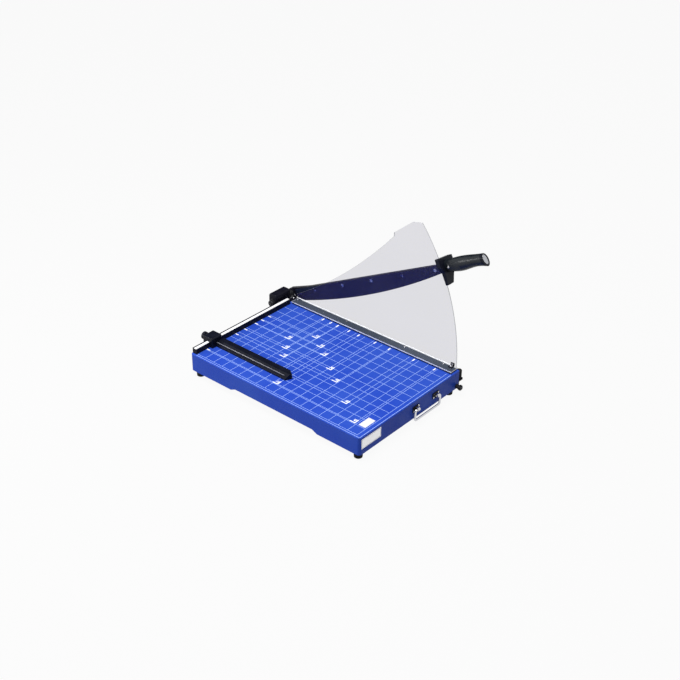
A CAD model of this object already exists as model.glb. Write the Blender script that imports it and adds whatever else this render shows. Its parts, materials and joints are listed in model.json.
# %% [markdown]
# # A guillotine paper trimmer
# The trimmer is a blue steel table with a fixed knife along its right edge. A long arm carries
# the moving blade, a clear sheet keeps fingers away from it, and a paper stop slides along a rail.
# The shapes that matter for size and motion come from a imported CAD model, which is loaded first.
# This script gives them their finishes and adds what CAD leaves out: the printed ruling, the
# chequered grip, rounded edges, the studio and the camera. All lengths in Blender are metres.

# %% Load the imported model
import json
import math

import bmesh
import bpy
from mathutils import Matrix, Vector
from mathutils.bvhtree import BVHTree

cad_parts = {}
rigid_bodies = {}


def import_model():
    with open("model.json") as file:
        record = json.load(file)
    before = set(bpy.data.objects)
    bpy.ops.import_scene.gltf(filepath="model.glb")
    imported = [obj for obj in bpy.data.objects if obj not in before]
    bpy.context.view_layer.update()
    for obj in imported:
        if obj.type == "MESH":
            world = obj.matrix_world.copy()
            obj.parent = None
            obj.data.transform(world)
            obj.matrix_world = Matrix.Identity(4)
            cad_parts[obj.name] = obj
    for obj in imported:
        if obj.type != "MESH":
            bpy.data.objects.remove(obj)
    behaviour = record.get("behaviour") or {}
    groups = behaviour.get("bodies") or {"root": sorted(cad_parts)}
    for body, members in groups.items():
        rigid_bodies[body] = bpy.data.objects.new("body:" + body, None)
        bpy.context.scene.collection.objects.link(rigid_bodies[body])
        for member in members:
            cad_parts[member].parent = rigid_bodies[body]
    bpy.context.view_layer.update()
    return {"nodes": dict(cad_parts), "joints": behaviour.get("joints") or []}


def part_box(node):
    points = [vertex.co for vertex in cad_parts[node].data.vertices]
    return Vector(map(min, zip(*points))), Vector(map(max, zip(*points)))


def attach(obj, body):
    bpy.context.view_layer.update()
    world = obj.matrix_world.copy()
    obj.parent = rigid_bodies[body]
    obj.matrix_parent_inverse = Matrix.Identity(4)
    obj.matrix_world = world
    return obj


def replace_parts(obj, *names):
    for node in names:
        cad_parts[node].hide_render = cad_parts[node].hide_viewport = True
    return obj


for leftover in list(bpy.data.objects):
    bpy.data.objects.remove(leftover)

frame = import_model()
nodes = frame["nodes"]

# %% [markdown]
# ## One ruler for the whole script
# A maker measures this machine from three faces: the cutting edge, the front of the fence and the
# table top. Reading those faces from the model, rather than typing them, keeps every added piece
# in register. `at` turns such a measurement, in millimetres, into a point of the scene.

# %% Measure from the machine's own faces
MM = 0.001
SCALE_LIP = 1.0          # the rail's upper lip stands this far ahead of the fence's face, mm
EDGE_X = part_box("fixed_knife")[1].x
FENCE_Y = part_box("fence_rail")[0].y + SCALE_LIP * MM
TOP_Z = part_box("base_shell")[1].z


def at(x_mm, y_mm, z_mm=0.0):
    """A point right of the cutting edge, behind the fence's face and above the table, in mm."""
    return Vector((EDGE_X + x_mm * MM, FENCE_Y + y_mm * MM, TOP_Z + z_mm * MM))


def in_mm(point):
    """The same three measurements of a point of the scene, in mm."""
    return ((point[0] - EDGE_X) / MM, (point[1] - FENCE_Y) / MM, (point[2] - TOP_Z) / MM)


def box_mm(name):
    """The lowest and the highest corner of a CAD piece, measured in mm."""
    low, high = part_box(name)
    return in_mm(low), in_mm(high)


print("table's left front corner, mm:", [round(v, 1) for v in box_mm("base_shell")[0][:2]])

# %% [markdown]
# ## The arm's own ruler
# Pieces on the arm are easier to draw with the arm level. The hinge's place comes from the model's
# joint, and the arm stands open at rest. `arm_at` takes the distance along the arm and
# the height above its middle line, and gives the point on the raised arm.

# %% Measure along the raised arm
ARM_OPEN = math.radians(26.7)        # the arm's angle at rest
hinge = next(joint for joint in frame["joints"] if joint["name"] == "arm_hinge")
PIVOT = Vector(hinge["pos_m"])


def arm_at(x_mm, along_mm, up_mm):
    """A point of the raised arm: x from the cutting edge, along and up from the pivot, in mm."""
    along, up = along_mm * MM, up_mm * MM
    return Vector((EDGE_X + x_mm * MM,
                   PIVOT.y - along * math.cos(ARM_OPEN) + up * math.sin(ARM_OPEN),
                   PIVOT.z + along * math.sin(ARM_OPEN) + up * math.cos(ARM_OPEN)))


print("pivot, mm:", [round(v, 2) for v in in_mm(PIVOT)])

# %% [markdown]
# ## Studio: floor and backdrop
# A product shot has a white ground that runs up into a white background. Camera, mirror and glass
# rays see the floor nearly white, while other rays see plain paint, so the object isn't flooded
# with light from below and still drops a soft shadow.

# %% Build the floor
FLOOR_REACH = 9.0        # from the middle to each edge, m
FLOOR_Z = -0.0005        # a hair under the feet, m
FLOOR_GLOW = 0.94        # how much of what the camera sees is plain white
FLOOR_PAINT = 0.36       # grey of the paint that the lamps see


def seen_directly(tree):
    """A value that is 1 for camera, mirror and glass rays, and 0 for the rest."""
    path = tree.nodes.new("ShaderNodeLightPath")
    first = tree.nodes.new("ShaderNodeMath")
    second = tree.nodes.new("ShaderNodeMath")
    first.operation = second.operation = "MAXIMUM"
    tree.links.new(path.outputs["Is Camera Ray"], first.inputs[0])
    tree.links.new(path.outputs["Is Glossy Ray"], first.inputs[1])
    tree.links.new(first.outputs[0], second.inputs[0])
    tree.links.new(path.outputs["Is Transmission Ray"], second.inputs[1])
    return second.outputs[0]


def flat_sheet(name, corners):
    """One flat face through its corners, linked to the scene as a stage piece."""
    form = bmesh.new()
    form.faces.new([form.verts.new(corner) for corner in corners])
    mesh = bpy.data.meshes.new(name)
    form.to_mesh(mesh)
    form.free()
    sheet = bpy.data.objects.new(name, mesh)
    bpy.context.scene.collection.objects.link(sheet)
    return sheet


floor_paint = bpy.data.materials.new("studio_floor_paint")
floor_paint.use_nodes = True
tree = floor_paint.node_tree
tree.nodes.clear()
paint = tree.nodes.new("ShaderNodeBsdfDiffuse")
paint.inputs["Color"].default_value = (FLOOR_PAINT, FLOOR_PAINT, FLOOR_PAINT, 1)
glow = tree.nodes.new("ShaderNodeEmission")
glow.inputs["Strength"].default_value = 1.0
blend = tree.nodes.new("ShaderNodeMixShader")
weight = tree.nodes.new("ShaderNodeMath")
weight.operation = "MULTIPLY"
weight.inputs[1].default_value = FLOOR_GLOW
tree.links.new(seen_directly(tree), weight.inputs[0])
tree.links.new(weight.outputs[0], blend.inputs["Fac"])
tree.links.new(paint.outputs[0], blend.inputs[1])
tree.links.new(glow.outputs[0], blend.inputs[2])
surface = tree.nodes.new("ShaderNodeOutputMaterial")
tree.links.new(blend.outputs[0], surface.inputs["Surface"])

floor = flat_sheet("studio_floor", [
    (-FLOOR_REACH, -FLOOR_REACH, FLOOR_Z), (FLOOR_REACH, -FLOOR_REACH, FLOOR_Z),
    (FLOOR_REACH, FLOOR_REACH, FLOOR_Z), (-FLOOR_REACH, FLOOR_REACH, FLOOR_Z)])
floor.data.materials.append(floor_paint)
print("floor laid,", 2 * FLOOR_REACH, "m across")

# %% [markdown]
# ## Light
# The world is a plain grey dome for light and a white one for what is seen in mirrors. A large
# soft lamp high on the left gives the top its full colour and leaves the front face in shade. A
# small lamp low at the rear left lifts the left side, so that side fades towards the front corner.

# %% Light the set
DOME_LIGHT = 0.22        # grey of the dome that lights the object
BACKDROP = 0.962         # what shows past the floor, as pale as the floor looks
MIDDLE = (0, 0, 0.05)    # what the lamps and cards point at, m
KEY_PLACE, KEY_SIZE, KEY_POWER = (-0.65, -0.05, 2.4), 1.2, 74.0
SIDE_PLACE, SIDE_SIZE, SIDE_POWER = (-1.05, 0.95, 0.5), 0.22, 5.5

world = bpy.data.worlds.new("studio_dome")
bpy.context.scene.world = world
world.use_nodes = True
tree = world.node_tree
tree.nodes.clear()
dome = tree.nodes.new("ShaderNodeBackground")
dome.inputs["Color"].default_value = (DOME_LIGHT, DOME_LIGHT, DOME_LIGHT, 1)
white = tree.nodes.new("ShaderNodeBackground")
white.inputs["Color"].default_value = (BACKDROP, BACKDROP, BACKDROP, 1)
blend = tree.nodes.new("ShaderNodeMixShader")
tree.links.new(seen_directly(tree), blend.inputs["Fac"])
tree.links.new(dome.outputs[0], blend.inputs[1])
tree.links.new(white.outputs[0], blend.inputs[2])
output = tree.nodes.new("ShaderNodeOutputWorld")
tree.links.new(blend.outputs[0], output.inputs["Surface"])


def soft_lamp(name, place, size, power):
    """A square area lamp that faces the middle."""
    lamp = bpy.data.lights.new(name, "AREA")
    lamp.size = size
    lamp.energy = power
    holder = bpy.data.objects.new(name, lamp)
    holder.location = place
    holder.rotation_euler = (Vector(MIDDLE) - Vector(place)).to_track_quat("-Z", "Y").to_euler()
    bpy.context.scene.collection.objects.link(holder)


soft_lamp("key_lamp", KEY_PLACE, KEY_SIZE, KEY_POWER)
soft_lamp("side_lamp", SIDE_PLACE, SIDE_SIZE, SIDE_POWER)
print("dome and two lamps set")

# %% [markdown]
# ## Camera
# The camera looks down at the left front corner from about three metres away with a long
# lens, so the table's edges stay nearly parallel. Its turn is written as a viewing direction plus
# a small roll, which reads more easily than three Euler angles.

# %% Place the camera
CAMERA_MM = (-1795.2, -1650.2, 1364.0)       # from the cutting edge, the fence and the top
LOOK_ALONG = Vector((0.6524, 0.5535, -0.5178)).normalized()
ROLL = math.radians(0.72)
FOCAL_PX, FRAME_PX, SENSOR_MM = 1195.4, 680, 36.0

right = LOOK_ALONG.cross(Vector((0, 0, 1))).normalized()
up = right.cross(LOOK_ALONG)
right, up = (right * math.cos(ROLL) + up * math.sin(ROLL),
             up * math.cos(ROLL) - right * math.sin(ROLL))
lens = bpy.data.cameras.new("product_camera")
lens.sensor_fit = "HORIZONTAL"
lens.sensor_width = SENSOR_MM
lens.lens = SENSOR_MM * FOCAL_PX / FRAME_PX
lens.clip_end = 100
camera = bpy.data.objects.new("product_camera", lens)
turn = Matrix((right, up, -LOOK_ALONG)).transposed().to_4x4()
camera.matrix_world = Matrix.Translation(at(*CAMERA_MM)) @ turn
bpy.context.scene.collection.objects.link(camera)
bpy.context.scene.camera = camera
bpy.context.scene.view_settings.view_transform = "Standard"
print("lens", round(lens.lens, 2), "mm, camera at", [round(v, 3) for v in camera.location])

# %% [markdown]
# ## Dark cards for chrome and black plastic
# Chrome in an all-white studio has nothing to mirror and looks like grey paint, and black plastic
# mirrors the white walls and turns grey. Photographers hang up black cards against both. One card
# hangs towards the camera and gives each wire and screw a dark core. A larger one hangs behind,
# where flat tops would mirror the backdrop. Only mirror rays can see them, so they cast no shade.

# %% Hang the dark cards
CARD_TONE = (0.01, 0.01, 0.012, 1)
BACK_GLANCE = Vector((LOOK_ALONG.x, LOOK_ALONG.y, -LOOK_ALONG.z))     # off a flat top
card_cloth = bpy.data.materials.new("dark_card_cloth")
card_cloth.use_nodes = True
card_cloth.node_tree.nodes["Principled BSDF"].inputs["Base Color"].default_value = CARD_TONE
card_cloth.node_tree.nodes["Principled BSDF"].inputs["Specular IOR Level"].default_value = 0.0


def hang_card(name, towards, away, half_wide, half_high):
    """A dark card that faces the object and shows in mirror rays only."""
    middle = towards.normalized() * away + Vector(MIDDLE)
    across = towards.cross(Vector((0, 0, 1))).normalized()
    rise = across.cross(towards).normalized()
    card = flat_sheet(name, [middle + across * a * half_wide + rise * b * half_high
                             for a, b in ((-1, -1), (1, -1), (1, 1), (-1, 1))])
    card.data.materials.append(card_cloth)
    card.visible_camera = card.visible_diffuse = card.visible_shadow = False
    card.visible_transmission = card.visible_volume_scatter = False
    print(name, round(2 * half_wide, 2), "m wide")


hang_card("front_card", -LOOK_ALONG, 1.5, 0.42, 0.42)
hang_card("back_card", BACK_GLANCE, 1.7, 1.1, 0.95)

# %% [markdown]
# ## Finishes
# Real surfaces are never one flat colour. Each finish starts from the Principled shader with its
# plain values on the shader's own sockets, and then gets fine grain: noise that shifts the
# colour a little, noise that changes the roughness, and a small bump. All noise is measured in
# object coordinates, so its scale is in features per metre and it moves with the piece.

# %% Helpers for finishes
def finish(name, colour, roughness, metallic=0.0, specular=0.5, alpha=1.0):
    """A Principled material with its plain values set on the shader itself."""
    made = bpy.data.materials.new(name)
    made.use_nodes = True
    shader = made.node_tree.nodes["Principled BSDF"]
    shader.inputs["Base Color"].default_value = (*colour, 1)
    shader.inputs["Roughness"].default_value = roughness
    shader.inputs["Metallic"].default_value = metallic
    shader.inputs["Specular IOR Level"].default_value = specular
    shader.inputs["Alpha"].default_value = alpha
    return made


def noise(made, scale, detail=3.0, stretch=(1, 1, 1), turn=0.0):
    """A noise value in object coordinates, stretched and turned about X."""
    tree = made.node_tree
    where = tree.nodes.new("ShaderNodeTexCoord")
    mapping = tree.nodes.new("ShaderNodeMapping")
    mapping.inputs["Scale"].default_value = stretch
    mapping.inputs["Rotation"].default_value = (turn, 0, 0)
    pattern = tree.nodes.new("ShaderNodeTexNoise")
    pattern.inputs["Scale"].default_value = scale
    pattern.inputs["Detail"].default_value = detail
    tree.links.new(where.outputs["Object"], mapping.inputs["Vector"])
    tree.links.new(mapping.outputs["Vector"], pattern.inputs["Vector"])
    return pattern.outputs["Fac"]


def vary_colour(made, pattern, dark, light):
    """Runs the colour between two tones."""
    tree = made.node_tree
    ramp = tree.nodes.new("ShaderNodeValToRGB")
    ramp.color_ramp.elements[0].position = 0.3
    ramp.color_ramp.elements[1].position = 0.7
    ramp.color_ramp.elements[0].color = (*dark, 1)
    ramp.color_ramp.elements[1].color = (*light, 1)
    tree.links.new(pattern, ramp.inputs["Fac"])
    tree.links.new(ramp.outputs["Color"], tree.nodes["Principled BSDF"].inputs["Base Color"])


def vary_roughness(made, pattern, low, high):
    """Runs the roughness between two values."""
    tree = made.node_tree
    span = tree.nodes.new("ShaderNodeMapRange")
    span.inputs["From Min"].default_value = 0.3
    span.inputs["From Max"].default_value = 0.7
    span.inputs["To Min"].default_value = low
    span.inputs["To Max"].default_value = high
    tree.links.new(pattern, span.inputs["Value"])
    tree.links.new(span.outputs["Result"], tree.nodes["Principled BSDF"].inputs["Roughness"])


def grain(made, pattern, height_mm, strength=1.0):
    """Bumps the surface by the pattern."""
    tree = made.node_tree
    bump = tree.nodes.new("ShaderNodeBump")
    bump.inputs["Strength"].default_value = strength
    bump.inputs["Distance"].default_value = height_mm * MM
    tree.links.new(pattern, bump.inputs["Height"])
    tree.links.new(bump.outputs["Normal"], tree.nodes["Principled BSDF"].inputs["Normal"])


print("finish helpers ready")

# %% [markdown]
# ### Blue enamel
# The pan is pressed steel under a satin baked enamel. Sprayed enamel has a faint orange peel with
# waves of a millimetre or two, so the bump is coarse and very low, and the gloss is uneven. The
# colour drifts slightly over hand widths, as it does where the spray overlaps.

# %% Mix the blue enamel
blue_enamel = finish("satin_blue_enamel", (0.022, 0.068, 0.46), 0.42, specular=0.12)
vary_colour(blue_enamel, noise(blue_enamel, 9, 4), (0.016, 0.056, 0.45), (0.029, 0.084, 0.48))
vary_roughness(blue_enamel, noise(blue_enamel, 45, 2), 0.38, 0.50)
grain(blue_enamel, noise(blue_enamel, 520, 2), 0.02, 0.5)
print("enamel:", blue_enamel.name)

# %% [markdown]
# ### Black paint, black plastic and rubber
# The blacks differ only in gloss and grain. Paint on steel is smooth with a slight sheen. Moulded
# plastic has a fine spark-eroded grain, and where hands and paper rub it, it turns grey. Rubber is
# dull, with a dusty bloom. In a white studio a black needs a low specular level, or it mirrors the
# walls and turns grey.

# %% Mix the blacks
black_paint = finish("satin_black_paint", (0.006, 0.006, 0.012), 0.42, specular=0.09)
vary_colour(black_paint, noise(black_paint, 40, 3), (0.005, 0.005, 0.010), (0.009, 0.009, 0.016))
vary_roughness(black_paint, noise(black_paint, 60, 3), 0.36, 0.50)
grain(black_paint, noise(black_paint, 900, 2), 0.015, 0.5)

black_plastic = finish("grained_black_plastic", (0.004, 0.005, 0.010), 0.42, specular=0.13)
vary_colour(black_plastic, noise(black_plastic, 55, 3), (0.004, 0.005, 0.010),
            (0.008, 0.009, 0.017))
vary_roughness(black_plastic, noise(black_plastic, 70, 3), 0.27, 0.38)
grain(black_plastic, noise(black_plastic, 1600, 3), 0.03, 0.8)

grip_plastic = finish("soft_grip_plastic", (0.006, 0.008, 0.011), 0.34, specular=0.30)
vary_colour(grip_plastic, noise(grip_plastic, 45, 3), (0.004, 0.006, 0.009),
            (0.009, 0.012, 0.016))
vary_roughness(grip_plastic, noise(grip_plastic, 80, 3), 0.28, 0.42)
grain(grip_plastic, noise(grip_plastic, 1400, 3), 0.025, 0.7)

rubbed_plastic = finish("rubbed_grey_plastic", (0.10, 0.10, 0.115), 0.30, specular=0.5)
vary_colour(rubbed_plastic, noise(rubbed_plastic, 60, 3), (0.12, 0.12, 0.14),
            (0.26, 0.26, 0.28))
grain(rubbed_plastic, noise(rubbed_plastic, 1400, 3), 0.02, 0.7)

rubber = finish("dull_black_rubber", (0.012, 0.012, 0.014), 0.78, specular=0.15)
vary_colour(rubber, noise(rubber, 160, 4), (0.008, 0.008, 0.010), (0.022, 0.022, 0.025))
grain(rubber, noise(rubber, 1300, 4), 0.05, 0.9)
print("blacks:", black_paint.name, black_plastic.name, grip_plastic.name, rubber.name)

# %% [markdown]
# ### Steels and bronze
# The blades are ground and blued, so they look navy with fine scratches across their length.
# Small steel pieces are zinc plated and cloudy, and those of the pivot are blackened. The bail
# and the show screws are bright chrome. The hidden bushes are turned bronze with rings about
# their axis.

# %% Mix the metals
blade_steel = finish("blued_ground_steel", (0.012, 0.018, 0.040), 0.38, metallic=0.2,
                     specular=0.15)
cross_scratches = noise(blade_steel, 900, 4, stretch=(1, 1, 0.06), turn=ARM_OPEN)
vary_colour(blade_steel, cross_scratches, (0.007, 0.011, 0.030), (0.017, 0.024, 0.055))
vary_roughness(blade_steel, noise(blade_steel, 1200, 2, stretch=(1, 1, 0.05), turn=ARM_OPEN),
               0.28, 0.46)
grain(blade_steel, cross_scratches, 0.01, 0.5)

zinc = finish("zinc_plated_steel", (0.52, 0.53, 0.55), 0.34, metallic=1.0)
vary_colour(zinc, noise(zinc, 220, 5), (0.42, 0.43, 0.45), (0.60, 0.61, 0.63))
vary_roughness(zinc, noise(zinc, 500, 3), 0.28, 0.44)
grain(zinc, noise(zinc, 1800, 2), 0.008, 0.5)

chrome = finish("bright_chrome", (0.62, 0.62, 0.65), 0.09, metallic=1.0)
vary_roughness(chrome, noise(chrome, 150, 3), 0.06, 0.15)
grain(chrome, noise(chrome, 300, 2), 0.006, 0.4)

dark_steel = finish("blackened_steel", (0.035, 0.036, 0.042), 0.38, metallic=0.6, specular=0.2)
vary_colour(dark_steel, noise(dark_steel, 200, 4), (0.025, 0.026, 0.031), (0.05, 0.051, 0.058))
vary_roughness(dark_steel, noise(dark_steel, 420, 3), 0.30, 0.46)
grain(dark_steel, noise(dark_steel, 1500, 2), 0.008, 0.5)

bronze = finish("turned_bronze", (0.50, 0.32, 0.13), 0.32, metallic=1.0)
turning_rings = noise(bronze, 1500, 2, stretch=(1, 0.02, 0.02))
vary_roughness(bronze, turning_rings, 0.25, 0.42)
grain(bronze, turning_rings, 0.01, 0.6)
print("metals:", blade_steel.name, zinc.name, chrome.name, dark_steel.name, bronze.name)

# %% [markdown]
# ### Clear sheet
# The guard is clear plastic with a faint lilac tint. A partly see-through shader with a dark blue
# base keeps what lies behind it in place and only a little dimmer. Sawn edges catch light, so the
# rim gets a denser grey finish and the edges of the foot a nearly white one.

# %% Mix the clear sheet
clear_sheet = finish("clear_guard_sheet", (0.03, 0.03, 0.30), 0.16, specular=0.20, alpha=0.135)
vary_colour(clear_sheet, noise(clear_sheet, 7, 2), (0.04, 0.03, 0.17), (0.08, 0.065, 0.22))
vary_roughness(clear_sheet, noise(clear_sheet, 30, 4), 0.12, 0.24)
grain(clear_sheet, noise(clear_sheet, 14, 2), 0.05, 0.3)

rim_edge = finish("sawn_sheet_edge", (0.45, 0.45, 0.50), 0.40, specular=0.3, alpha=0.62)
vary_roughness(rim_edge, noise(rim_edge, 700, 2, stretch=(0.1, 1, 1)), 0.30, 0.5)
grain(rim_edge, noise(rim_edge, 900, 2), 0.02, 0.5)

foot_sheet = finish("clear_foot_sheet", (0.15, 0.19, 0.26), 0.20, specular=0.20, alpha=0.20)
vary_colour(foot_sheet, noise(foot_sheet, 9, 2), (0.10, 0.13, 0.19), (0.21, 0.25, 0.33))
vary_roughness(foot_sheet, noise(foot_sheet, 60, 4), 0.14, 0.28)

foot_edge = finish("bright_sheet_edge", (0.86, 0.87, 0.92), 0.35, specular=0.4, alpha=0.92)
vary_roughness(foot_edge, noise(foot_edge, 700, 2), 0.28, 0.45)
grain(foot_edge, noise(foot_edge, 900, 2), 0.02, 0.5)
print("sheet:", clear_sheet.name, rim_edge.name, foot_sheet.name, foot_edge.name)

# %% [markdown]
# ### Film, foil and inks
# The badge and the scale are white film. The notice is a foil, partly metallic, so it mirrors the
# white room and stays bright on the shaded front. Inks are matt: pale blue for the ruling, white
# for the marks and the numbers, black for the scale.

# %% Mix the film, the grey plastic and the inks
white_film = finish("white_printed_film", (0.90, 0.90, 0.91), 0.38, specular=0.3)
vary_colour(white_film, noise(white_film, 90, 3), (0.88, 0.88, 0.89), (0.93, 0.93, 0.94))
grain(white_film, noise(white_film, 700, 2), 0.01, 0.5)

white_foil = finish("white_backed_foil", (0.93, 0.93, 0.94), 0.42, metallic=0.7)
vary_colour(white_foil, noise(white_foil, 60, 3), (0.91, 0.91, 0.92), (0.95, 0.95, 0.96))
grain(white_foil, noise(white_foil, 500, 2), 0.01, 0.5)

grey_plastic = finish("light_grey_plastic", (0.42, 0.43, 0.46), 0.35, specular=0.5)
vary_colour(grey_plastic, noise(grey_plastic, 200, 3), (0.38, 0.39, 0.42), (0.46, 0.47, 0.50))
vary_roughness(grey_plastic, noise(grey_plastic, 120, 3), 0.28, 0.42)
grain(grey_plastic, noise(grey_plastic, 1500, 2), 0.02, 0.6)

pale_ink = finish("pale_ruling_ink", (0.40, 0.56, 0.98), 0.5, specular=0.1)
vary_colour(pale_ink, noise(pale_ink, 240, 3), (0.36, 0.52, 0.95), (0.45, 0.61, 1.0))
white_ink = finish("white_marking_ink", (0.90, 0.92, 0.97), 0.5, specular=0.2)
vary_colour(white_ink, noise(white_ink, 240, 3), (0.86, 0.89, 0.96), (0.94, 0.95, 1.0))
black_ink = finish("black_scale_ink", (0.02, 0.02, 0.025), 0.55, specular=0.2)
vary_colour(black_ink, noise(black_ink, 400, 3), (0.015, 0.015, 0.02), (0.05, 0.05, 0.055))
print("film, grey plastic and inks ready")

# %% [markdown]
# ## Dress the CAD pieces
# Most CAD pieces already have their real shape, so they only need a finish. A table from finish
# to piece names is easier to read and to change than a line for each piece.

# %% Give every CAD piece its finish
FINISHES = {
    blue_enamel: "base_shell cross_ribs corner_gussets",
    black_paint: "fence_rail pivot_bracket arm_bar hold_down_bar end_blocks guard_front_clip "
                 "guard_rear_clip buffer_bracket bail_ears",
    black_plastic: "stop_saddle stop_arm stop_knob hand_guard end_cap",
    grip_plastic: "hand_grip",
    rubber: "rubber_feet peg_sleeve arm_buffer",
    blade_steel: "fixed_knife arm_blade",
    zinc: "side_bar foot_screws foot_nuts knife_screws fence_screws stop_arm_screws clamp_screw "
          "backing_plate tension_spring handle_tang tang_screws clip_rivets buffer_rivets "
          "buffer_screw",
    dark_steel: "pivot_bolt head_washer thrust_ring spring_cup tension_nut bracket_bolts stop_peg "
                "peg_nut",
    chrome: "blade_screws grip_screws hold_screws end_screws carry_bail ear_screws",
    bronze: "bracket_bush hub_bush stop_pad",
    clear_sheet: "clear_guard",
    white_film: "blank_badge scale_strip",
    white_foil: "blank_notice",
    grey_plastic: "cap_insert",
}
finish_of = {}
for made, names in FINISHES.items():
    for name in names.split():
        skin = nodes[name].data
        skin.materials.clear()
        skin.materials.append(made)
        finish_of[name] = made
print(len(finish_of), "of", len(nodes), "CAD pieces have a finish")

# %% [markdown]
# ## Rounded edges
# No real edge is sharp: castings and mouldings have a radius, and a sawn bar is at least filed.
# A rounded edge also catches a thin line of light, which is how the eye reads it as real. CAD
# could round them, but small radii make its solids heavy, so a Bevel modifier does it here on a
# copy that stands for the CAD piece. The Weighted Normal modifier keeps the flat faces flat.

# %% Helpers for pieces
WELD = 1e-6                          # points closer than this are one point, m
FLAT = math.radians(0.4)             # faces that turn less than this are one face
CREASE = math.radians(38)            # edges that turn more than this are rounded


def piece(name, mesh, body, slot_name, *inks):
    """Links a mesh as a named piece that rides on a body."""
    thing = bpy.data.objects.new(name, mesh)
    bpy.context.scene.collection.objects.link(thing)
    for ink in inks:
        mesh.materials.append(ink)
    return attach(thing, body)


def finished_mesh(name, form):
    """Turns a form into a mesh whose faces point outward."""
    mesh = bpy.data.meshes.new(name)
    bmesh.ops.recalc_face_normals(form, faces=form.faces)
    form.to_mesh(mesh)
    form.free()
    return mesh


def skin_rings(form, rings):
    """Closes rings of points into a bar: walls from ring to ring and a face at each end."""
    count = len(rings[0])
    for near, far in zip(rings, rings[1:]):
        for n in range(count):
            m = (n + 1) % count
            form.faces.new((near[n], near[m], far[m], far[n]))
    form.faces.new(rings[0])
    form.faces.new(rings[-1][::-1])


def welded_copy(name):
    """The mesh of a CAD piece as one closed skin, its flat faces joined up."""
    form = bmesh.new()
    form.from_mesh(nodes[name].data)
    bmesh.ops.remove_doubles(form, verts=form.verts, dist=WELD)
    bmesh.ops.dissolve_limit(form, angle_limit=FLAT, verts=form.verts, edges=form.edges)
    mesh = bpy.data.meshes.new(name + "_eased")
    form.to_mesh(mesh)
    form.free()
    return mesh


def apply_modifiers(thing):
    """Bakes the modifiers of a piece into its mesh."""
    bpy.context.view_layer.update()
    seen = thing.evaluated_get(bpy.context.evaluated_depsgraph_get())
    baked = bpy.data.meshes.new_from_object(seen)
    thing.modifiers.clear()
    thing.data = baked


def eased(name, body, slot_name, round_mm, steps=2):
    """A copy of a CAD piece with rounded edges, which stands for the CAD piece."""
    thing = piece(name + "_eased", welded_copy(name), body, slot_name, finish_of[name])
    thing.data.shade_smooth()
    bevel = thing.modifiers.new("rounded_edges", "BEVEL")
    bevel.width = round_mm * MM
    bevel.segments = steps
    bevel.limit_method = "ANGLE"
    bevel.angle_limit = CREASE
    bevel.use_clamp_overlap = True
    bevel.miter_outer = "MITER_ARC"
    flat = thing.modifiers.new("flat_faces", "WEIGHTED_NORMAL")
    flat.keep_sharp = True
    apply_modifiers(thing)
    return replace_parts(thing, name)


print("piece helpers ready")

# %% Round the edges of the bars, castings and mouldings
EASED = (                # piece, body, slot, radius in mm, steps of the round
    ("fence_rail", "base", "black_metal", 0.7, 2),
    ("pivot_bracket", "base", "black_metal", 1.2, 3),
    ("hold_down_bar", "base", "black_metal", 0.35, 2),
    ("fixed_knife", "base", "blade_steel", 0.25, 1),
    ("side_bar", "base", "plain_steel", 0.5, 2),
    ("tension_nut", "base", "black_metal", 0.8, 3),
    ("guard_front_clip", "base", "black_metal", 0.3, 2),
    ("guard_rear_clip", "base", "black_metal", 0.3, 2),
    ("buffer_bracket", "base", "black_metal", 0.4, 2),
    ("arm_bar", "blade_arm", "black_metal", 0.9, 2),
    ("arm_blade", "blade_arm", "blade_steel", 0.25, 1),
    ("hand_guard", "blade_arm", "black_plastic", 1.3, 3),
    ("end_cap", "blade_arm", "black_plastic", 0.8, 3),
    ("stop_saddle", "paper_stop", "black_plastic", 2.6, 4),
    ("stop_arm", "paper_stop", "black_plastic", 2.4, 5),
)
for name, body, slot_name, round_mm, steps in EASED:
    thing = eased(name, body, slot_name, round_mm, steps)
    print(thing.name, len(thing.data.polygons), "faces")

# %% [markdown]
# ## The clear guard
# The guard is one bent sheet: a standing side and a foot under the hold-down screws. Its broad
# faces are almost invisible and its sawn edges are not, so the copy of the CAD piece gets one
# finish for each kind of face, picked by the way the face points. The foot's lower face is lifted
# a hair off the bar, because two faces in one place flicker.

# %% Finish the guard by its faces
FOOT_TOP = box_mm("guard_front_clip")[0][2]
FOOT_AIR = 0.03          # the foot stands this far off the bar, mm
SIDE_THICK = 2.6         # reaches just past the standing side's thickness, mm
GUARD_ROUND = 0.3        # radius of its edges, mm
SQUARE_ON = 0.99         # a broad face's normal has at least this much along one axis
NEAR = 0.05              # how far a face may lie off its plane, mm
guard = piece("clear_guard_sheet", welded_copy("clear_guard"), "base", "clear_plastic",
              clear_sheet, rim_edge, foot_edge, foot_sheet)
guard_low, guard_high = box_mm("clear_guard")
bevel = guard.modifiers.new("rounded_edges", "BEVEL")
bevel.width = GUARD_ROUND * MM
bevel.segments = 1
bevel.limit_method = "ANGLE"
bevel.angle_limit = CREASE
apply_modifiers(guard)
for corner in guard.data.vertices:
    if abs(in_mm(corner.co)[2] - guard_low[2]) < NEAR / 5:
        corner.co.z += FOOT_AIR * MM
kinds = [0, 0, 0, 0]
for face in guard.data.polygons:
    x, y, z = in_mm(face.center)
    on_foot = z < FOOT_TOP + NEAR and x < guard_high[0] - SIDE_THICK
    broad = abs(face.normal.z if on_foot else face.normal.x) > SQUARE_ON
    face.material_index = (3 if on_foot else 0) if broad else 2 if on_foot else 1
    kinds[face.material_index] += 1
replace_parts(guard, "clear_guard")
print("guard faces: side, rim, foot edges, foot", kinds)

# %% [markdown]
# Where the sheet is bent up from its foot, the inside of the bend gathers light into a bright
# line. A slim quarter-round along the corner, in the finish of the foot's edge, gives that line.

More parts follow.
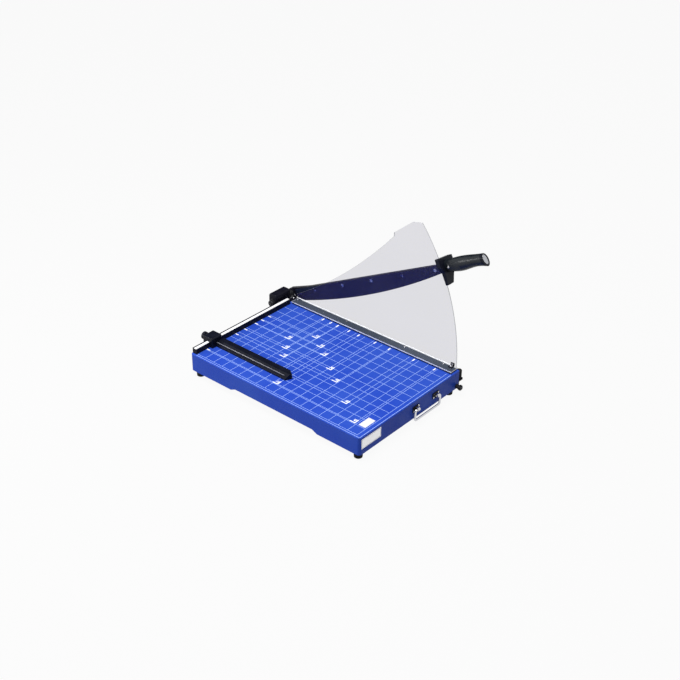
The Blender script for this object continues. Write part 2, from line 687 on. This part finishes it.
# %% Add the bright inside of the bend
BEND_R = 1.1
FRONT_CLIP_AIR, REAR_CLIP_AIR = 0.6, 2.5         # the line stops this far from each clip, mm
bend_right, clip_back, _ = box_mm("guard_front_clip")[1]
bend_front = clip_back + FRONT_CLIP_AIR
bend_back = box_mm("guard_rear_clip")[0][1] - REAR_CLIP_AIR
bend = bmesh.new()
rings = []
for y in (bend_front, bend_back):
    section = [(bend_right, FOOT_TOP)] + [
        (bend_right - BEND_R + BEND_R * math.sin(math.radians(t)),
         FOOT_TOP + BEND_R - BEND_R * math.cos(math.radians(t))) for t in (0, 30, 60, 90)]
    rings.append([bend.verts.new(at(x, y, z)) for x, z in section])
skin_rings(bend, rings)
piece("guard_bend", finished_mesh("guard_bend", bend), "base", "clear_plastic", foot_edge)
print("bend line", round(bend_back - bend_front), "mm long")

# %% [markdown]
# ## Chequering on the grip
# Near the hand guard the grip is moulded with small diamonds that stop the thumb from sliding.
# A bump map would vanish at its outline, so each diamond is a low pyramid. A ray is cast onto the
# grip for each corner, which lays the pattern on the curved side like a net.

# %% Mould the diamonds on both sides of the grip
CHEQUER_FROM, CHEQUER_TO = 505.5, 541.0      # along the arm, mm
CHEQUER_LOW, CHEQUER_HIGH = -3.5, 15.5       # up from the arm's middle, mm
DIAMOND_LONG, DIAMOND_HIGH = 3.0, 2.1        # pitch along and up, mm
DIAMOND_FILL = 0.46                          # half a diamond, as a share of its pitch
DIAMOND_RISE, DIAMOND_SINK = 0.45, 0.05      # its tip above and its corners below the skin, mm
SCREW_ALONG, SCREW_UP, SCREW_CLEAR = 508, 5.7, 5.2   # the skin stays smooth round this screw, mm
RAY_FROM = 40                                # rays start this far out, mm
TURNED_AWAY = 0.35                           # no diamond where the skin faces less sideways
grip_net = BVHTree.FromObject(nodes["hand_grip"], bpy.context.evaluated_depsgraph_get())
grip_middle = sum(v[0] for v in box_mm("hand_grip")) / 2


def on_grip(side, along, up_mm, rise=0.0):
    """The point of the grip's left (-1) or right (1) side at a place along and up the arm."""
    start = arm_at(grip_middle + side * RAY_FROM, along, up_mm)
    hit, normal, _, _ = grip_net.ray_cast(start, Vector((-side, 0, 0)))
    return None if hit is None or abs(normal.x) < TURNED_AWAY else hit + normal * rise * MM


chequer = bmesh.new()
diamonds = 0
for side in (-1, 1):
    for row in range(int((CHEQUER_HIGH - CHEQUER_LOW) / DIAMOND_HIGH * 2)):
        up_mm = CHEQUER_LOW + row * DIAMOND_HIGH / 2
        shift = DIAMOND_LONG / 2 * (row % 2)
        for n in range(int((CHEQUER_TO - CHEQUER_FROM) / DIAMOND_LONG)):
            along = CHEQUER_FROM + shift + n * DIAMOND_LONG
            if side < 0 and math.hypot(along - SCREW_ALONG, up_mm - SCREW_UP) < SCREW_CLEAR:
                continue
            corners = [on_grip(side, along + a * DIAMOND_LONG * DIAMOND_FILL,
                               up_mm + b * DIAMOND_HIGH * DIAMOND_FILL, -DIAMOND_SINK)
                       for a, b in ((-1, 0), (0, -1), (1, 0), (0, 1))]
            tip = on_grip(side, along, up_mm, DIAMOND_RISE)
            if tip is None or None in corners:
                continue
            ring = [chequer.verts.new(corner) for corner in corners]
            top = chequer.verts.new(tip)
            for k in range(4):
                chequer.faces.new((ring[k], ring[(k + 1) % 4], top))
            chequer.faces.new(ring[::-1])
            diamonds += 1
piece("grip_chequering", finished_mesh("grip_chequering", chequer), "blade_arm", "black_plastic",
      grip_plastic)
print(diamonds, "diamonds moulded")

# %% [markdown]
# ## The ridge of the paper stop
# A moulded straightedge like this one has a slim ridge along its long upper corner, rubbed a
# little grey by paper and hands. It is a round bead, half sunk into the arm, drawn as rings of
# points that shrink at both ends, so it runs out softly.

# %% Lay the ridge along the paper stop
RIDGE_R = 0.85
RIDGE_IN, RIDGE_DOWN = 0.75, 0.75        # its middle, from the arm's left side and top, mm
RIDGE_ENDS = ((0.0, 0.15), (1.5, 0.8), (4.0, 1.0))   # distance from an end, mm, and size
SADDLE_AIR, TIP_AIR = 0.5, 9.0           # it stops this far from the saddle and the tip, mm
arm_low, arm_high = box_mm("stop_arm")
saddle_front = box_mm("stop_saddle")[0][1]
ridge_from, ridge_to = saddle_front - SADDLE_AIR, arm_low[1] + TIP_AIR
stations = [(ridge_from - run, size) for run, size in RIDGE_ENDS]
stations += [(ridge_to + run, size) for run, size in reversed(RIDGE_ENDS)]
ridge = bmesh.new()
rings = []
for y, size in stations:
    rings.append([ridge.verts.new(at(
        arm_low[0] + RIDGE_IN + RIDGE_R * size * math.cos(math.radians(t)), y,
        arm_high[2] - RIDGE_DOWN + RIDGE_R * size * math.sin(math.radians(t))))
        for t in range(0, 360, 30)])
skin_rings(ridge, rings)
ridge_mesh = finished_mesh("stop_arm_ridge", ridge)
ridge_mesh.shade_smooth()
piece("stop_arm_ridge", ridge_mesh, "paper_stop", "black_plastic", rubbed_plastic)
print("ridge", round(ridge_from - ridge_to), "mm long")

# %% [markdown]
# ## Bail ears
# The two ears are painted plates with a bright rolled knuckle that the bail turns in. One mesh
# can carry two finishes: faces that stand in front of the plate belong to the knuckle.

# %% Finish the ears by their faces
EAR_SHEET = 1.6          # thickness of the painted plate, mm
KNUCKLE_OUT = 0.3        # faces further than this in front of the plate are the knuckle's, mm
EAR_CREASE = math.radians(35)
plate_back = box_mm("bail_ears")[1][1]
ears = piece("bail_ears_eased", welded_copy("bail_ears"), "base", "black_metal",
             black_paint, chrome)
ears.data.set_sharp_from_angle(angle=EAR_CREASE)
bright = 0
for face in ears.data.polygons:
    face.use_smooth = True
    if in_mm(face.center)[1] < plate_back - EAR_SHEET - KNUCKLE_OUT:
        face.material_index = 1
        bright += 1
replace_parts(ears, "bail_ears")
print(bright, "bright faces on the ears")

# %% [markdown]
# ## The printed ruling
# The table is printed with squares of 25 mm, counted from the fence and from the cutting edge,
# inside a double border. Print could be a texture, but thin raised strips stay sharp at any
# distance and export as real geometry. One mesh holds all the strips of one ink.

# %% Helpers for print
PRINT_LIFT = 0.06        # thickness of the ink, mm


def bar_between(form, low, high):
    """Adds a thin box between two corners given in mm."""
    x0, y0, z0 = low
    x1, y1, z1 = high
    ring = [(x0, y0), (x1, y0), (x1, y1), (x0, y1)]
    bottom = [form.verts.new(at(x, y, z0)) for x, y in ring]
    top = [form.verts.new(at(x, y, z1)) for x, y in ring]
    form.faces.new(bottom[::-1])
    form.faces.new(top)
    for n in range(4):
        m = (n + 1) % 4
        form.faces.new((bottom[n], bottom[m], top[m], top[n]))


def stroke(form, x0, x1, y0, y1, level=0.0):
    """Adds a flat printed stroke on a level, in mm."""
    bar_between(form, (x0, y0, level), (x1, y1, level + PRINT_LIFT))


print("ink is", PRINT_LIFT, "mm thick")

# %% [markdown]
# Standard sheets have lines of their own, from the corner where the sheet ends to the hold-down
# bar and to the fence, so a sheet can be laid up from any side. Lines that lead to several corners
# are drawn once, to the furthest of them.

# %% Print the squares and the sheet lines
SQUARE = 25.0
LINE = 0.7               # width of a ruled line, mm
BAR_AIR = 0.8            # lines stop this far from the guard's foot, mm
RULED_RIGHT, RULED_BACK = guard_low[0] - BAR_AIR, -1.2
RULED_LEFT, RULED_FRONT = -325.0, -450.0
BORDER_LEFT, BORDER_FRONT, BORDER = -330.0, -459.6, 0.9      # place and width of the outer line
SHEETS = (               # length from the fence and width from the cutting edge, mm
          (148, 105), (105, 148), (182, 128), (128, 182), (210, 148), (148, 210), (257, 182),
          (182, 257), (297, 210), (210, 297), (364, 257), (420, 297))

across = {n * SQUARE: -RULED_LEFT for n in range(1, 18)}
down = {n * SQUARE: -RULED_FRONT for n in range(2, 13)}
for length, width in SHEETS:
    across[length] = max(across.get(length, 0), width)
    down[width] = max(down.get(width, 0), length)

ruling = bmesh.new()
for x, reach in down.items():
    stroke(ruling, -x - LINE / 2, -x + LINE / 2, -reach, RULED_BACK)
for y, reach in across.items():
    stroke(ruling, -reach, RULED_RIGHT, -y - LINE / 2, -y + LINE / 2)
for left, front, width in ((RULED_LEFT, RULED_FRONT, LINE),
                           (BORDER_LEFT, BORDER_FRONT, BORDER)):
    stroke(ruling, left - width / 2, left + width / 2, front - width / 2, RULED_BACK)
    stroke(ruling, left + width / 2, RULED_RIGHT, front - width / 2, front + width / 2)
piece("ruled_squares", finished_mesh("ruled_squares", ruling), "base", "white_label", pale_ink)
print(len(down), "lines down and", len(across), "lines across")

# %% [markdown]
# A heavy L marks the corner of each sheet, with one leg to the right and one to the back. The same
# sizes have a short dash beside the hold-down bar and one beside the fence.

# %% Print the sheet marks
MARK = 2.4               # width of a heavy mark, mm
MARK_LEVEL = 0.03        # the white ink is printed over the pale one
LEG_RIGHT, LEG_BACK = 12.0, 13.0             # from the sheet's corner, mm
DASH, DASH_WIDE = 9.0, 3.0                   # mm
NO_CORNER = ((182, 257),)    # this size has its lines but no corner

marks = bmesh.new()
corners = [sheet for sheet in SHEETS if sheet not in NO_CORNER]
for length, width in corners:
    stroke(marks, -width - MARK / 2, -width + LEG_RIGHT, -length - MARK / 2, -length + MARK / 2,
           MARK_LEVEL)
    stroke(marks, -width - MARK / 2, -width + MARK / 2, -length + MARK / 2, -length + LEG_BACK,
           MARK_LEVEL)
for length in sorted({sheet[0] for sheet in SHEETS}):
    stroke(marks, RULED_RIGHT - DASH, RULED_RIGHT, -length - DASH_WIDE / 2,
           -length + DASH_WIDE / 2, MARK_LEVEL)
for width in sorted({sheet[1] for sheet in SHEETS}):
    stroke(marks, -width - DASH_WIDE / 2, -width + DASH_WIDE / 2, RULED_BACK - DASH, RULED_BACK,
           MARK_LEVEL)
piece("sheet_marks", finished_mesh("sheet_marks", marks), "base", "white_label", white_ink)
print(len(corners), "sheet corners marked")

# %% [markdown]
# ## Numbers
# Blender's text objects make clean outlines. Each number is written once, turned into a mesh and
# joined to the others, so all numbers of one ink are a single piece. A little offset makes the
# strokes bold. Each sheet's corner carries its length in whole centimetres.

# %% Helper for numbers
def add_number(form, text, size_mm, place_mm, bold_mm=0.0):
    """Adds a flat number, centred on a place, that reads along +X."""
    curve = bpy.data.curves.new("number", "FONT")
    curve.body = text
    curve.size = size_mm * MM
    curve.offset = bold_mm * MM
    curve.align_x, curve.align_y = "CENTER", "CENTER"
    curve.extrude = PRINT_LIFT * MM / 2
    curve.resolution_u = 3
    holder = bpy.data.objects.new("number", curve)
    bpy.context.scene.collection.objects.link(holder)
    bpy.context.view_layer.update()
    outline = bpy.data.meshes.new_from_object(holder)
    place = at(*place_mm) + Vector((0, 0, PRINT_LIFT * MM / 2))
    outline.transform(Matrix.Translation(place))
    form.from_mesh(outline)
    bpy.data.objects.remove(holder)
    bpy.data.meshes.remove(outline)
    bpy.data.curves.remove(curve)


print("number helper ready")

# %% Write the numbers on the table
NUMBER_SIZE, NUMBER_BOLD = 7.4, 0.3
NUMBER_RIGHT, NUMBER_BACK = 7.4, 4.6         # its middle, from the sheet's corner, mm
figures = bmesh.new()
for length, width in corners:
    add_number(figures, str(round(length / 10)), NUMBER_SIZE,
               (-width + NUMBER_RIGHT, -length + NUMBER_BACK, MARK_LEVEL), NUMBER_BOLD)
table_numbers = piece("table_numbers", finished_mesh("table_numbers", figures), "base",
                      "white_label", white_ink)
print(len(table_numbers.data.polygons), "faces of numbers")

# %% [markdown]
# ## The fence's scale
# The white strip in the fence is a ruler that starts at the cutting edge. Every millimetre has a
# tick, every fifth and tenth are longer, and each second centimetre has its number.

# %% Print the scale
TICK = 0.18                                  # width of a tick, mm
TICK_FROM = 0.15                             # ticks start this far behind the strip's front, mm
TEN, FIVE, ONE = 2.6, 1.9, 1.1               # where the three lengths of tick end, mm
FIGURE, FIGURE_BACK = 2.6, 4.6               # size of a number and its place from the front, mm
strip_low, strip_high = box_mm("scale_strip")
ticks = bmesh.new()
first_tick, last_tick = math.ceil(-strip_high[0]) + 1, math.floor(-strip_low[0]) - 1
for mm in range(first_tick, last_tick + 1):
    reach = TEN if mm % 10 == 0 else FIVE if mm % 5 == 0 else ONE
    stroke(ticks, -mm - TICK / 2, -mm + TICK / 2, strip_low[1] + TICK_FROM, strip_low[1] + reach,
           strip_high[2])
    if mm % 20 == 0:
        add_number(ticks, str(mm // 10), FIGURE, (-mm, strip_low[1] + FIGURE_BACK, strip_high[2]))
piece("scale_print", finished_mesh("scale_print", ticks), "base", "black_metal", black_ink)
print(last_tick - first_tick + 1, "ticks printed")

# %% [markdown]
# ## The two blank plates
# A badge lies on the table and a notice is stuck on the front. Both are left blank, with a thin
# printed frame, so an owner can put their own words there. The notice stands upright, so its
# frame is drawn with bars that are thin from front to back.

# %% Frame the badge and the notice
FRAME_IN, FRAME_WIDE = 1.3, 0.45             # inset and width of a bar, mm
badge_low, badge_high = box_mm("blank_badge")
notice_low, notice_high = box_mm("blank_notice")


def frame_bars(low_a, high_a, low_b, high_b):
    """Four bars of a frame inside a plate, each (a0, a1, b0, b1) in the plate's two directions."""
    a0, a1, b0, b1 = (low_a + FRAME_IN, high_a - FRAME_IN, low_b + FRAME_IN, high_b - FRAME_IN)
    return ((a0, a1, b0, b0 + FRAME_WIDE), (a0, a1, b1 - FRAME_WIDE, b1),
            (a0, a0 + FRAME_WIDE, b0 + FRAME_WIDE, b1 - FRAME_WIDE),
            (a1 - FRAME_WIDE, a1, b0 + FRAME_WIDE, b1 - FRAME_WIDE))


frames = bmesh.new()
for x0, x1, y0, y1 in frame_bars(badge_low[0], badge_high[0], badge_low[1], badge_high[1]):
    stroke(frames, x0, x1, y0, y1, badge_high[2])
for x0, x1, z0, z1 in frame_bars(notice_low[0], notice_high[0], notice_low[2], notice_high[2]):
    bar_between(frames, (x0, notice_low[1] - PRINT_LIFT, z0), (x1, notice_low[1], z1))
piece("plate_frames", finished_mesh("plate_frames", frames), "base", "black_metal", black_ink)
print("two frames printed")

# %% Write the sizes and finish
print("sizes written")
